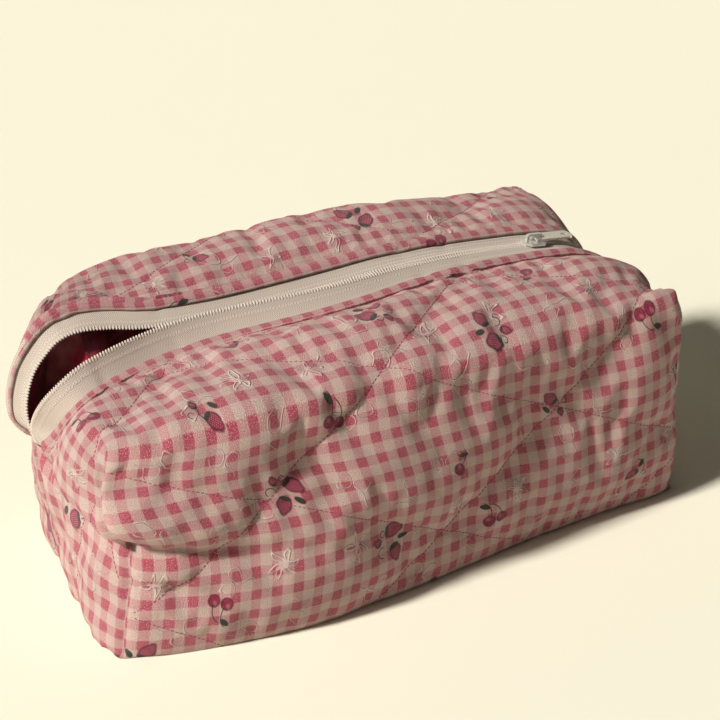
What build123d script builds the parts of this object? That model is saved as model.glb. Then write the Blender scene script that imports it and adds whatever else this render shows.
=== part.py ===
from build123d import *
import os
from functools import cache
from math import asin, degrees, sqrt

# A quilted, lined, box-shaped makeup bag with a zip over the top.
# Millimetres. +X runs along the zip towards the slider's end, +Y is the back,
# +Z is up. The origin is the middle of the bag's footprint, on the floor.

# ---- driving dimensions: the bag ----
length = 266.0            # over the two end walls
depth = 132.0             # front bulge to back wall
crown_height = 111.0      # top of the zip line at mid length
end_height = 98.0         # the zip line carried on to the end walls
end_overhang = 3.0        # how far the top outline runs past the end walls
top_corner_radius = 17.0  # bend of the top into the end walls
upright_radius = 10.0     # rounding of the four upright corners
base_edge_radius = 7.0    # rounding of the bottom edge
zip_line_y = 7.0          # the zip and the base seam lie behind the middle

# ---- driving dimensions: the slumped front and the tucked left end ----
bulge_distance = 78.0     # left end wall to where the front wall bulges most
front_left_inset = 15.0   # front left corner, behind the bulge
front_right_inset = 12.0  # front right corner, behind the bulge
back_corner_inset = 4.0   # back corners, in front of the back wall's middle
left_tuck = 11.0          # how far the left end wall slants in at the back
lean_start = 22.0         # height where the front wall starts to lean back
front_shoulder_inset = 17.0
back_shoulder_inset = 3.0
front_shoulder_drop = 22.0
back_shoulder_drop = 12.0
top_rise = 8.0            # cross-section's arc above the crown
shoulder_radius = 14.0

# ---- driving dimensions: cloth layers, outside to inside ----
cover_thickness = 0.6
wadding_thickness = 2.6
tape_thickness = 0.6
lining_thickness = 0.6

# ---- driving dimensions: the zip ----
coil_width = 2.5
coil_thickness = 2.0
tape_width = 16.0         # one tape, from its coil edge
tape_showing = 8.5        # of that, not covered by the folded panel edge
zip_end_height = 46.0     # half way up the end walls, where the zip is tacked
tape_tail = 6.0           # tape sewn in below that
mouth_reach = 22.0        # widest part of the open mouth
mouth_end_gap = 14.0      # mouth where it turns down the left end wall
mouth_widest = 25.0       # left end wall to the widest part
mouth_length = 145.0      # left end wall to where the tapes lie edge to edge

# ---- driving dimensions: slider and pull ----
slider_distance = 39.0    # right end wall to the slider's rest place
slider_length = 10.4
slider_plate = 1.2
running_gap = 0.3         # slider to tape and coil
lining_clearance = 2.0    # slider to lining edge
post_width = 1.2
post_length = 2.0
plate_overhang = 1.0      # slider plates past the coils
bridge_length = 8.0
bridge_width = 1.6
bridge_bar = 1.0
pin_clearance = 0.45      # pull's pin to the plate and to the bridge
pull_pin_diameter = 1.0
pull_side_clearance = 0.7
pull_end_clearance = 0.8
pull_length = 18.5        # from its pin
pull_width = 6.6
pull_thickness = 0.9
pull_hole_diameter = 2.6

# ---- driving dimensions: sewing inside and on top ----
binding_width = 8.0
binding_thickness = 2.4
binding_clearance = 5.0   # a corner binding stops this far from other bindings
stitch_length = 3.0
stitch_pitch = 3.8
stitch_width = 0.4
stitch_height = 0.25
stitch_inset = 5.0        # topstitch line behind the folded panel edge

# ---- worked out: the zip and slider ----
coil_gap = post_width + 2 * running_gap
slider_width = coil_gap + 2 * (coil_width + plate_overhang)
lining_setback = (slider_width - coil_gap) / 2 + lining_clearance
bridge_height = pull_pin_diameter + 2 * pin_clearance + bridge_bar
pull_eye_width = bridge_width + 2 * pull_side_clearance
pull_eye_length = bridge_length / 2 + pull_end_clearance

# ---- worked out: the bag ----
half_length = length / 2
half_depth = depth / 2
bulge_x = bulge_distance - half_length
slider_x = half_length - slider_distance
mouth_widest_x = mouth_widest - half_length
mouth_closed_x = mouth_length - half_length
crown_drop = crown_height - end_height
crown_radius = (half_length**2 + crown_drop**2) / (2 * crown_drop)
crown_centre_z = crown_height - crown_radius
inner_tape = cover_thickness + wadding_thickness
under_tape = inner_tape + tape_thickness
under_lining = under_tape + lining_thickness
under_coil = under_tape + coil_thickness
mouth_bend_z = end_height - top_corner_radius
far = 2 * (length + depth)


def plan_outline():
    """Footprint: a bulged front edge, a slightly bowed back and a slanted left end."""
    front_left = (-half_length, -half_depth + front_left_inset)
    front_right = (half_length, -half_depth + front_right_inset)
    bulge = (bulge_x, -half_depth)
    back_right = (half_length, half_depth - back_corner_inset)
    back_middle = (0, half_depth)
    back_left = (-half_length + left_tuck, half_depth - back_corner_inset)
    edges = [
        TangentArc(bulge, front_left, tangent=(-1, 0)),
        TangentArc(bulge, front_right, tangent=(1, 0)),
        Line(front_right, back_right),
        ThreePointArc(back_right, back_middle, back_left),
        Line(back_left, front_left),
    ]
    face = make_face(edges)
    return fillet(face.vertices().filter_by(corner_of_plan), upright_radius)


def corner_of_plan(vertex):
    """The four corners, and not the point where the two front arcs meet."""
    return abs(vertex.X - bulge_x) > 1.0


def side_outline():
    """Length and height: straight sides, round top corners and a crowned top."""
    reach = half_length + end_overhang
    corner_x = reach - top_corner_radius
    corner_path = crown_radius - top_corner_radius
    corner_z = crown_centre_z + sqrt(corner_path**2 - corner_x**2)
    scale = crown_radius / corner_path
    join_x = corner_x * scale
    join_z = crown_centre_z + (corner_z - crown_centre_z) * scale
    top = ThreePointArc((-join_x, join_z), (0, crown_height), (join_x, join_z))
    right = RadiusArc((join_x, join_z), (reach, corner_z), top_corner_radius)
    left = RadiusArc((-reach, corner_z), (-join_x, join_z), top_corner_radius)
    sides = Polyline((-reach, corner_z), (-reach, 0), (reach, 0), (reach, corner_z))
    return make_face([top, right, left, sides])


def end_outline():
    """Depth and height: upright back, leaning front and an arched top."""
    margin = 2.0
    front = -half_depth - margin
    back = half_depth + margin
    front_shoulder = (-half_depth + front_shoulder_inset, crown_height - front_shoulder_drop)
    back_shoulder = (half_depth - back_shoulder_inset, crown_height - back_shoulder_drop)
    top = (zip_line_y, crown_height + top_rise)
    edges = [
        Polyline((front, lean_start), (front, 0), (back, 0), (back, lean_start)),
        Line((front, lean_start), front_shoulder),
        ThreePointArc(front_shoulder, top, back_shoulder),
        Line(back_shoulder, (back, lean_start)),
    ]
    face = make_face(edges)
    shoulders = [v for v in face.vertices() if v.Y > crown_height / 2]
    return fillet(shoulders, shoulder_radius)


def stood_up(face, turn):
    """A flat outline, whose second axis is height, as a long prism through the bag."""
    upright = Rot(90, 0, 0) * face
    prism = extrude(upright, far / 2, dir=(0, 1, 0), both=True)
    return Rot(0, 0, turn) * prism


def inset(face, depth_in):
    return offset(face, -depth_in, kind=Kind.INTERSECTION) if depth_in else face


@cache
def body(depth_in):
    """The bag's outer form, shrunk by depth_in all round."""
    plan = Pos(0, 0, depth_in) * inset(plan_outline(), depth_in)
    block = extrude(plan, 2 * crown_height)
    edge_radius = base_edge_radius - depth_in
    if edge_radius > 0:
        block = fillet(block.faces().sort_by(Axis.Z)[0].edges(), edge_radius)
    along = stood_up(inset(side_outline(), depth_in), 0)
    across = stood_up(inset(end_outline(), depth_in), 90)
    return block & along & across


def layer(outer_depth, inner_depth):
    return body(outer_depth) - body(inner_depth)


def block_between(low, high):
    size = [b - a for a, b in zip(low, high)]
    middle = [(a + b) / 2 for a, b in zip(low, high)]
    return Pos(*middle) * Box(*size)


def front_strip(inner, outer, bottom):
    """The space over the front tape, from inner to outer behind its coil edge."""
    edge = zip_line_y - coil_gap / 2
    return block_between((-far / 2, edge - outer, bottom), (far / 2, edge - inner, far))


def lip_line(shift, first):
    """The back tape's coil edge in plan, moved back by shift."""
    y = zip_line_y + coil_gap / 2 + shift
    closed = (mouth_closed_x, y)
    widest = (mouth_widest_x, y + mouth_reach)
    turn = (-half_length + left_tuck / 2, y + mouth_end_gap)
    swing = Spline(closed, widest, turn, tangents=((-1, 0), (-1, -0.3)))
    line = [
        Line((far / 2, y), closed),
        swing,
        Line(turn, (-far / 2, y + mouth_end_gap)),
    ]
    return line if first else line[::-1]


def back_strip(inner, outer, bottom):
    """The space over the back tape, which swings out round the open mouth."""
    edge = zip_line_y + coil_gap / 2
    near = edge + inner
    left = -far / 2
    right = far / 2
    ends = [
        Line((right, near), (right, edge + outer)),
        Line((left, near + mouth_end_gap), (left, edge + outer + mouth_end_gap)),
    ]
    plan = make_face(lip_line(inner, True) + lip_line(outer, False) + ends)
    above = extrude(Pos(0, 0, mouth_bend_z) * plan, far)
    low = Polygon(
        (near, bottom),
        (edge + outer, bottom),
        (edge + outer, zip_end_height),
        (edge + outer + mouth_end_gap, mouth_bend_z),
        (near + mouth_end_gap, mouth_bend_z),
        (near, zip_end_height),
        align=None,
    )
    left_wall = stood_up(low, 90) & block_between((left, left, 0), (0, right, far))
    right_wall = block_between((0, near, bottom), (right, edge + outer, mouth_bend_z))
    return above + left_wall + right_wall


def slot(setback, bottom):
    """What is cut from a layer along the zip, up to setback behind each coil edge."""
    gap = coil_gap / 2
    return front_strip(-gap, setback, bottom) + back_strip(-gap, setback, bottom) + mouth_fill(bottom)


def mouth_fill(bottom):
    """The open mouth between the zip line and the back coil edge."""
    y = zip_line_y
    left = -far / 2
    right = far / 2
    closing = Line((left, y), (right, y))
    ends = [
        Line((right, y), (right, y + coil_gap / 2)),
        Line((left, y), (left, y + coil_gap / 2 + mouth_end_gap)),
    ]
    plan = make_face(lip_line(0, True) + [closing] + ends)
    above = extrude(Pos(0, 0, mouth_bend_z) * plan, far)
    low = Polygon(
        (y, bottom),
        (y + coil_gap / 2, bottom),
        (y + coil_gap / 2, zip_end_height),
        (y + coil_gap / 2 + mouth_end_gap, mouth_bend_z),
        (y, mouth_bend_z),
        align=None,
    )
    left_wall = stood_up(low, 90) & block_between((left, left, 0), (0, right, far))
    return above + left_wall


def front_half():
    return block_between((-far, -far, -far), (far, zip_line_y, far))


def back_half():
    return block_between((-far, zip_line_y, -far), (far, far, far))


def cloth_panels():
    """Cover, wadding and lining, each cut in a front and a back panel."""
    panel_slot = slot(tape_showing, zip_end_height)
    lining_slot = slot(lining_setback, zip_end_height)
    tape_bottom = zip_end_height - tape_tail
    tapes = front_strip(0, tape_width, tape_bottom) + back_strip(0, tape_width, tape_bottom)
    tape_bed = layer(inner_tape, under_tape) & tapes
    cover = layer(0, cover_thickness) - panel_slot
    wadding = layer(cover_thickness, under_tape) - panel_slot - tape_bed
    lining = layer(under_tape, under_lining) - lining_slot
    parts = {}
    for name, whole in (("cover", cover), ("wadding", wadding), ("lining", lining)):
        parts["front_" + name] = whole & front_half()
        parts["back_" + name] = whole & back_half()
    return parts


def zip_tapes():
    bottom = zip_end_height - tape_tail
    skin = layer(inner_tape, under_tape)
    return {
        "front_zip_tape": skin & front_strip(0, tape_width, bottom),
        "back_zip_tape": skin & back_strip(0, tape_width, bottom),
    }


def zip_coils():
    """Each row of nylon coil as the bar that it fills, on the tape's inner side."""
    skin = layer(under_tape, under_coil)
    return {
        "front_coil": skin & front_strip(0, coil_width, zip_end_height),
        "back_coil": skin & back_strip(0, coil_width, zip_end_height),
    }


def on_the_zip(shape, x, depth_in):
    """Moves a shape made about the origin on to the crowned zip line at x."""
    tilt = degrees(asin(x / crown_radius))
    place = Pos(0, zip_line_y, crown_centre_z) * Rot(0, tilt, 0)
    return place * Pos(0, 0, crown_radius - depth_in) * shape


def slider_body():
    """Two plates joined by a post at the nose, with a bridge for the pull."""
    top_low = running_gap
    top_high = top_low + slider_plate
    bottom_high = -(tape_thickness + coil_thickness + running_gap)
    bottom_low = bottom_high - slider_plate
    half = slider_length / 2
    outline = Rectangle(slider_length, slider_width)
    outline = chamfer(outline.vertices(), slider_width / 5)
    top = extrude(Pos(0, 0, top_low) * outline, slider_plate)
    bottom = extrude(Pos(0, 0, bottom_low) * outline, slider_plate)
    post = block_between(
        (-half + slider_width / 10, -post_width / 2, bottom_high),
        (-half + slider_width / 10 + post_length, post_width / 2, top_low),
    )
    made = top + bottom + post + pull_bridge(top_high)
    return on_the_zip(made, slider_x, inner_tape)


def pull_bridge(plate_top):
    """A flat-topped arch along the slider, which the pull's pin passes under."""
    arch = Rectangle(bridge_length, bridge_height, align=(Align.CENTER, Align.MIN))
    arch = fillet(arch.vertices().group_by(Axis.Y)[-1], bridge_height / 2)
    hole = Rectangle(
        bridge_length - 2 * bridge_bar,
        bridge_height - bridge_bar,
        align=(Align.CENTER, Align.MIN),
    )
    upright = Rot(90, 0, 0) * (arch - hole)
    return Pos(0, 0, plate_top) * extrude(upright, bridge_width / 2, both=True)


def pull_tab():
    """A flat tab with a round-ended eye; its pin lies under the slider's bridge."""
    pin_z = running_gap + slider_plate + (bridge_height - bridge_bar) / 2
    pin_radius = pull_pin_diameter / 2
    half = pull_width / 2
    plate = Pos(-pin_radius, 0) * Rectangle(
        pull_length + pin_radius, pull_width, align=(Align.MIN, Align.CENTER)
    )
    tip = plate.vertices().group_by(Axis.X)[-1]
    plate = fillet(tip, half * 0.6)
    eye = Pos(pin_radius, 0) * Rectangle(
        pull_eye_length - pin_radius, pull_eye_width, align=(Align.MIN, Align.CENTER)
    )
    hole = Pos(pull_length - half, 0) * Circle(pull_hole_diameter / 2)
    flat = extrude(plate - eye - hole, pull_thickness / 2, both=True)
    pin = Rot(90, 0, 0) * Cylinder(pin_radius, pull_width)
    square_end = block_between((-half, -half, -half), (0, half, half))
    tab = flat - square_end + pin
    return on_the_zip(Pos(0, 0, pin_z) * tab, slider_x, inner_tape)


def corner_bindings():
    """Bound seam allowances that stand in from the four upright corners."""
    space = body(under_lining)
    low = base_edge_radius + under_lining + binding_clearance
    high = end_height - top_corner_radius - binding_clearance
    corners = {
        "front_left": (-half_length, -half_depth + front_left_inset, 45),
        "front_right": (half_length, -half_depth + front_right_inset, 135),
        "back_left": (-half_length + left_tuck, half_depth - back_corner_inset, -45),
        "back_right": (half_length, half_depth - back_corner_inset, -135),
    }
    reach = upright_radius / 2 + under_lining + binding_width
    parts = {}
    for name, (x, y, turn) in corners.items():
        strip = block_between((0, -binding_thickness / 2, low), (reach, binding_thickness / 2, high))
        parts["corner_binding_" + name] = space & (Pos(x, y, 0) * Rot(0, 0, turn) * strip)
    return parts


def end_bindings():
    """Bound seams across each end wall, half way up, below the end of the zip."""
    ring = layer(under_lining, under_lining + binding_width)
    margin = binding_width + upright_radius + binding_clearance
    low_y = -half_depth + front_left_inset + margin
    high_y = half_depth - back_corner_inset - margin
    top = zip_end_height - tape_tail
    parts = {}
    for name, side in (("left", -1), ("right", 1)):
        near = side * (half_length - 2 * left_tuck - binding_width)
        far_x = side * far / 2
        low = (min(near, far_x), low_y, top - binding_thickness)
        high = (max(near, far_x), high_y, top)
        parts["end_binding_" + name] = ring & block_between(low, high)
    return parts


def base_binding():
    """The bound seam under the zip line, along the base and up both end walls."""
    ring = layer(under_lining, under_lining + binding_width)
    top = zip_end_height - tape_tail - binding_thickness
    half = binding_thickness / 2
    slab = block_between((-far, zip_line_y - half, -far), (far, zip_line_y + half, top))
    return ring & slab


def stitch_row(strip):
    """Raised stitches on the cover, where strip crosses the top."""
    band = layer(-stitch_height, 0) & strip
    count = int(2 * (half_length - 2 * top_corner_radius) / stitch_pitch)
    first = -stitch_pitch * (count - 1) / 2
    cuts = [
        block_between(
            (first + i * stitch_pitch - stitch_length / 2, -half_depth, end_height / 2),
            (first + i * stitch_pitch + stitch_length / 2, half_depth, far),
        )
        for i in range(count)
    ]
    return Compound([band & cut for cut in cuts])


def topstitches():
    near = tape_showing + stitch_inset
    outer = near + stitch_width
    return {
        "front_topstitch": stitch_row(front_strip(near, outer, zip_end_height)),
        "back_topstitch": stitch_row(back_strip(near, outer, zip_end_height)),
    }


def solids_of(shape):
    """Only the solids of a shape, as one compound or one solid."""
    solids = shape.solids()
    return solids[0] if len(solids) == 1 else Compound(solids)


def build():
    parts = cloth_panels()
    parts.update(zip_tapes())
    parts.update(zip_coils())
    parts["slider_body"] = slider_body()
    parts["pull_tab"] = pull_tab()
    parts.update(corner_bindings())
    parts.update(end_bindings())
    parts["base_binding"] = base_binding()
    parts.update(topstitches())
    os.makedirs("parts", exist_ok=True)
    for name, shape in parts.items():
        export_step(solids_of(shape), "parts/" + name + ".step")


build()
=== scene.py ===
import bpy
import numpy as np
from mathutils import Matrix, Vector


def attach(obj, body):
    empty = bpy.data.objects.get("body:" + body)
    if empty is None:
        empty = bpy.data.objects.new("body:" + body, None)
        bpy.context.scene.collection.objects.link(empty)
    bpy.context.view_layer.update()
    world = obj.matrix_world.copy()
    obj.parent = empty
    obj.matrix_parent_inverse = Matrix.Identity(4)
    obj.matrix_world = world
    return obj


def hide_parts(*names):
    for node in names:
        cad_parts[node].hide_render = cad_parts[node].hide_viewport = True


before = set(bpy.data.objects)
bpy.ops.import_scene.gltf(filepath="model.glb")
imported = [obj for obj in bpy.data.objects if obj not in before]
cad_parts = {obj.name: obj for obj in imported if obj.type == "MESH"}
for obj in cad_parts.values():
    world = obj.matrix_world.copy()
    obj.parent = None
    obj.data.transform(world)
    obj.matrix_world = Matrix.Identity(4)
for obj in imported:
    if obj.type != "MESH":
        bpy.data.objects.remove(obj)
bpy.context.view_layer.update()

# Shapes are worked out in millimetres and put into meshes in metres.
MM = 0.001
CHECK = 8.5               # one repeat of the gingham
HALF = 133.0              # cloth: middle of the bag to a corner seam
FLAP = 46.0               # cloth: how far a panel runs on, down or up an end wall
GRID = 1.5                # spacing of the cloth's points
HEM = 0.95                # half the thickness of the folded edge
TOPSTITCH = 5.5           # stitch line behind the folded edge


# ---------------------------------------------------------------- curves and noise

def through(points, at):
    """Smooth curve through points (knot, x, y, z), in cubic pieces.

    The slope at a knot is a mean of the slopes to its two neighbours, the nearer one weighing more.
    """
    table = np.asarray(points, float)
    knots, values = table[:, 0], table[:, 1:]
    slopes = np.gradient(values, knots, axis=0)
    i = np.clip(np.searchsorted(knots, at) - 1, 0, len(knots) - 2)
    span = (knots[i + 1] - knots[i])[:, None]
    t = (np.asarray(at)[:, None] - knots[i][:, None]) / span
    rise = (2 * t**3 - 3 * t**2 + 1) * values[i] + (3 * t**2 - 2 * t**3) * values[i + 1]
    lean = (t**3 - 2 * t**2 + t) * slopes[i] + (t**3 - t**2) * slopes[i + 1]
    return rise + span * lean


def hill(x, middle, width):
    """Bell curve of height 1."""
    return np.exp(-(((x - middle) / width) ** 2))


def noise(a, b, seed):
    """Smooth noise from -1 to 1: random values on a unit lattice, blended between its corners."""
    lattice = np.random.default_rng(seed).uniform(-1, 1, (64, 64))
    ia, ib = np.floor(a).astype(int), np.floor(b).astype(int)
    fa, fb = a - ia, b - ib
    fa, fb = fa * fa * (3 - 2 * fa), fb * fb * (3 - 2 * fb)
    at = lambda i, j: lattice[i % 64, j % 64]
    low = at(ia, ib) * (1 - fa) + at(ia + 1, ib) * fa
    high = at(ia, ib + 1) * (1 - fa) + at(ia + 1, ib + 1) * fa
    return low * (1 - fb) + high * fb


def unit(vectors):
    return vectors / np.maximum(np.linalg.norm(vectors, axis=-1, keepdims=True), 1e-9)


# ---------------------------------------------------------------- the bag's main lines
# Each point is (cloth length from mid bag, x, y, z).

FRONT_COIL = [
    (-179, -131, 24.5, 58), (-165, -134, 20, 69), (-150, -132.5, 14, 81), (-135, -126, 9.5, 91),
    (-120, -116.5, 9, 97), (-106, -106, 10, 99.6), (-85, -85, 12, 102.5), (-63, -63, 11, 104.9),
    (-42, -42, 7.5, 106.5), (-21, -21, 4.0, 107.6), (0, 0, 2.6, 108.2), (24, 24, 4.0, 107.8),
    (51, 51, 5.4, 106.2), (78, 78, 6.2, 103.4), (94, 94, 6.3, 101.3), (112, 111, 6.0, 97.4),
    (124, 121, 5.7, 91), (135, 126.5, 5.5, 83), (150, 130, 5.7, 71), (165, 131, 6.2, 60), (179, 131.5, 7, 49),
]
BACK_COIL = [
    (-179, -131, 25.5, 58), (-165, -131.5, 31, 70), (-150, -127.5, 33, 83), (-135, -121, 33, 92),
    (-120, -114, 32.5, 97.5), (-106, -105, 31, 99.6), (-95, -95, 28, 99.4), (-85, -85, 23.8, 98.8),
    (-60, -60, 17.5, 99.2), (-30, -30, 13, 101.2), (0, 0, 9.4, 104.3), (20, 20, 7.8, 106.4),
    (50, 50, 7.4, 106.1), (78, 78, 7.6, 103.4), (94, 94, 7.7, 101.3), (112, 111, 7.8, 97.4),
    (124, 121, 7.9, 91),
    (135, 126.5, 8, 83), (150, 130, 7.9, 71), (165, 131, 7.7, 60), (179, 131.5, 7.2, 49),
]
# How steeply the tapes lean, in degrees: the front one down towards the folded edge, the back one up.
FRONT_LEAN = [(-179, 30), (-160, 50), (-120, 60), (-85, 58), (-42, 45), (0, 30), (40, 14), (94, 4), (179, 0)]
BACK_LEAN = [(-179, 10), (-150, 26), (-85, 26), (-20, 26), (30, 8), (60, 2), (179, 0)]
# Width of tape seen between the coil and the folded edge.
FRONT_SHOWING = [(-179, 8.5), (-150, 10), (-60, 10), (20, 9.4), (179, 9)]
BACK_SHOWING = [(-179, 8.5), (179, 8.5)]
FRONT_SHOULDER = [
    (-133, -128, -38, 85), (-112, -110, -45, 88), (-70, -70, -51, 91), (-20, -20, -53, 93),
    (30, 30, -52, 92), (80, 80, -49, 90.5), (112, 111, -47, 91.5), (133, 130, -46.5, 94.5),
]
BACK_SHOULDER = [
    (-133, -110, 52, 104), (-112, -101, 54, 108), (-80, -77, 55.5, 111.5), (-20, -20, 56.5, 111.5),
    (20, 20, 57, 111), (55, 54, 57.5, 106.5), (85, 83, 60, 99.5), (115, 110, 66, 97.5),
    (133, 126.5, 70.5, 98.5),
]
FRONT_BASE = [
    (-133, -132.5, -51.5, 0), (-110, -108, -58, 0), (-84, -84, -63, 0), (-55, -55, -66.5, 0),
    (-20, -20, -65, 0), (20, 20, -59.5, 0), (67, 67, -54.5, 0), (105, 104, -53.5, 0), (133, 131, -53, 0),
]
BACK_BASE = [
    (-133, -115, 54, 0), (-100, -95, 58, 0), (0, 0, 61, 0), (100, 99, 61, 0), (133, 130.5, 60.5, 0),
]
BASE_SEAM = [
    (-179, -130.5, 25, 57), (-155, -125, 18, 27), (-133, -123, 9, 0), (-100, -96, 7, 0), (0, 0, 7, 0),
    (100, 97, 7, 0), (133, 129.5, 7, 0), (155, 130.5, 7, 24), (179, 131, 7.1, 48),
]
# Corner seams, by share of the way from the top corner to the base.
FRONT_LEFT_SEAM = [
    (0, -128, -38, 85), (0.25, -133, -40, 68), (0.5, -126, -47, 46),
    (0.75, -128.5, -49, 22), (1, -132.5, -51.5, 0),
]
FRONT_RIGHT_SEAM = [
    (0, 130, -46.5, 94.5), (0.25, 132.5, -49, 71), (0.5, 132.5, -51, 44),
    (0.75, 132, -53, 21), (1, 131, -53, 0),
]
BACK_LEFT_SEAM = [
    (0, -110, 52, 104), (0.25, -117, 54, 76), (0.5, -119, 55, 49),
    (0.75, -118, 55, 23), (1, -115, 54, 0),
]
BACK_RIGHT_SEAM = [
    (0, 126.5, 70.5, 98.5), (0.25, 129.5, 65, 71), (0.5, 131.5, 62, 45),
    (0.75, 131, 61.5, 22), (1, 130.5, 60.5, 0),
]


def side_of_tape(coil, at, side):
    """Directions along the coil, outwards from the bag, and down the leaning tape away from the coil."""
    along = unit(through(coil, at + 0.5) - through(coil, at - 0.5))
    across = np.array([0.0, side, 0.0]) - along * (along[:, 1:2] * side)
    across = unit(across)
    out = unit(np.cross(across, along) if side < 0 else np.cross(along, across))
    table = np.array(FRONT_LEAN if side < 0 else BACK_LEAN, float)
    lean = np.radians(np.interp(at, table[:, 0], table[:, 1]))[:, None] * side
    return along, out * np.cos(lean) - across * np.sin(lean), across * np.cos(lean) + out * np.sin(lean)


def showing(at, side):
    """Width of tape seen beside the coil."""
    table = np.array(FRONT_SHOWING if side < 0 else BACK_SHOWING, float)
    return np.interp(at, table[:, 0], table[:, 1])[:, None]


def folded_edge(coil, at, side):
    """The panel's folded edge: a tape's showing width from the coil, and the hem's thickness above it."""
    along, out, across = side_of_tape(coil, at, side)
    return through(coil, at) + across * showing(at, side) + out * 2 * HEM


# ---------------------------------------------------------------- the cloth panels

class Panel:
    """Half the bag: a plus-shaped cloth of top strip, face and base strip, with flaps round both ends."""

    def __init__(self, side):
        self.side = side
        flap_count = int(round(FLAP / GRID))
        main_count = int(round(2 * HALF / GRID))
        self.flap_count, self.main_count = flap_count, main_count
        left = np.linspace(-HALF - FLAP, -HALF, flap_count + 1)[:-1]
        main = np.linspace(-HALF, HALF, main_count + 1)
        right = np.linspace(HALF, HALF + FLAP, flap_count + 1)[1:]
        self.length = np.concatenate([left, main, right])
        lines = self.lines()
        self.top = self.strip(lines["edge"], lines["shoulder"], self.top_steps(), 3.0 if side < 0 else 1.5)
        self.base = self.strip(lines["base"], lines["seam"], np.linspace(0, 1, 31), 0.0)
        self.face = self.coons(lines)
        self.measure()
        self.weld()

    def top_steps(self):
        """Shares of the top strip's width: fine beside the topstitch, then even."""
        fine = np.linspace(0, 0.2, 17)
        return np.concatenate([fine, np.linspace(0.2, 1, 27)[1:]])

    def lines(self):
        """The strip borders at every column, the corner seams standing in for them on the flaps."""
        front = self.side < 0
        n = self.flap_count
        main = self.length[n:-n]
        left_seam = FRONT_LEFT_SEAM if front else BACK_LEFT_SEAM
        right_seam = FRONT_RIGHT_SEAM if front else BACK_RIGHT_SEAM
        down = np.linspace(0, 0.5, n + 1)
        up = 1 - down
        shoulder = through(FRONT_SHOULDER if front else BACK_SHOULDER, main)
        base = through(FRONT_BASE if front else BACK_BASE, main)
        upper_left, upper_right = through(left_seam, down), through(right_seam, down)
        lower_left, lower_right = through(left_seam, up), through(right_seam, up)
        edge = folded_edge(FRONT_COIL if front else BACK_COIL, self.length, self.side)
        seam = through(BASE_SEAM, self.length)
        for end, corner in ((0, upper_left[-1]), (-1, upper_right[-1])):
            share = (edge[end, 1] - corner[1]) / (seam[end, 1] - corner[1])
            on_seam = corner + (seam[end] - corner) * share
            near = np.clip(1 - np.abs(self.length - self.length[end]) / 12, 0, 1)[:, None] ** 2
            edge = edge + near * (on_seam - edge[end])
        return {
            "edge": edge,
            "shoulder": np.concatenate([upper_left[:0:-1], shoulder, upper_right[1:]]),
            "base": np.concatenate([lower_left[:0:-1], base, lower_right[1:]]),
            "seam": seam,
            "left": through(left_seam, np.linspace(0, 1, 2 * n + 1)),
            "right": through(right_seam, np.linspace(0, 1, 2 * n + 1)),
        }

    def strip(self, near, far, steps, rise):
        """Ruled surface between two lines, raised in the middle by rise."""
        v = steps[None, :, None]
        points = near[:, None] * (1 - v) + far[:, None] * v
        points[..., 2] += rise * np.sin(np.pi * v[..., 0]) * hill(self.length[:, None], 0, 120)
        return points

    def coons(self, lines):
        """The face: blended between its four borders, with a slight belly."""
        n = self.flap_count
        top, bottom = lines["shoulder"][n:-n], lines["base"][n:-n]
        left, right = lines["left"], lines["right"]
        u = np.linspace(0, 1, self.main_count + 1)[:, None, None]
        v = np.linspace(0, 1, 2 * n + 1)[None, :, None]
        ruled = top[:, None] * (1 - v) + bottom[:, None] * v
        sides = left[None] * (1 - u) + right[None] * u
        corners = (top[0] * (1 - u) + top[-1] * u) * (1 - v) + (bottom[0] * (1 - u) + bottom[-1] * u) * v
        points = ruled + sides - corners
        belly = np.sin(np.pi * v[..., 0]) * np.sin(np.pi * u[..., 0]) ** 0.5
        points[..., 1] += self.side * 1.5 * belly
        return points

    def measure(self):
        """Cloth width at each row, as the mean length of the columns from the folded edge."""
        n = self.flap_count

        def rows(block):
            steps = np.linalg.norm(np.diff(block, axis=1), axis=2)
            margin = len(block) // 5
            return steps[margin:-margin].mean(0)

        top = np.concatenate([[0], np.cumsum(rows(self.top[n:-n]))])
        face = top[-1] + np.concatenate([[0], np.cumsum(rows(self.face))])
        base = face[-1] + np.concatenate([[0], np.cumsum(rows(self.base[n:-n]))])
        self.widths = {"top": top, "face": face, "base": base}

    def weld(self):
        """One list of points for the three blocks, joined where they share a border or a corner seam."""
        blocks = {"top": self.top, "face": self.face, "base": self.base}
        n = self.flap_count
        lengths = {"top": self.length, "face": self.length[n:-n], "base": self.length}
        points = np.concatenate([b.reshape(-1, 3) for b in blocks.values()])
        keys = np.round(points, 3)
        _, first, self.which = np.unique(keys, axis=0, return_index=True, return_inverse=True)
        self.which = self.which.reshape(-1)
        self.points = points[first]
        self.index, quads, cloth, start = {}, [], [], 0
        for name, block in blocks.items():
            count = block.shape[0] * block.shape[1]
            ids = np.arange(start, start + count).reshape(block.shape[:2])
            self.index[name] = self.which[ids]
            grid_u, grid_v = np.meshgrid(lengths[name], self.widths[name], indexing="ij")
            cloth.append(np.stack([grid_u, grid_v], 2).reshape(-1, 2))
            quads.append(np.stack([ids[:-1, :-1], ids[1:, :-1], ids[1:, 1:], ids[:-1, 1:]], 2).reshape(-1, 4))
            start += count
        self.cloth = np.concatenate(cloth)
        quads = np.concatenate(quads)
        self.quads_cloth = quads if self.side > 0 else quads[:, ::-1]
        self.quads = self.which[self.quads_cloth]
        self.place = self.cloth[first]

    def fixed(self):
        """Points that smoothing leaves alone: the folded edge, the base seam and the end seams."""
        held = np.zeros(len(self.points), bool)
        held[self.index["top"][:, 0]] = True
        held[self.index["base"][:, -1]] = True
        for name in ("top", "base"):
            held[self.index[name][0]] = True
            held[self.index[name][-1]] = True
        n = self.flap_count
        held[self.index["base"][n:-n, 6:]] = True
        return held

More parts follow.
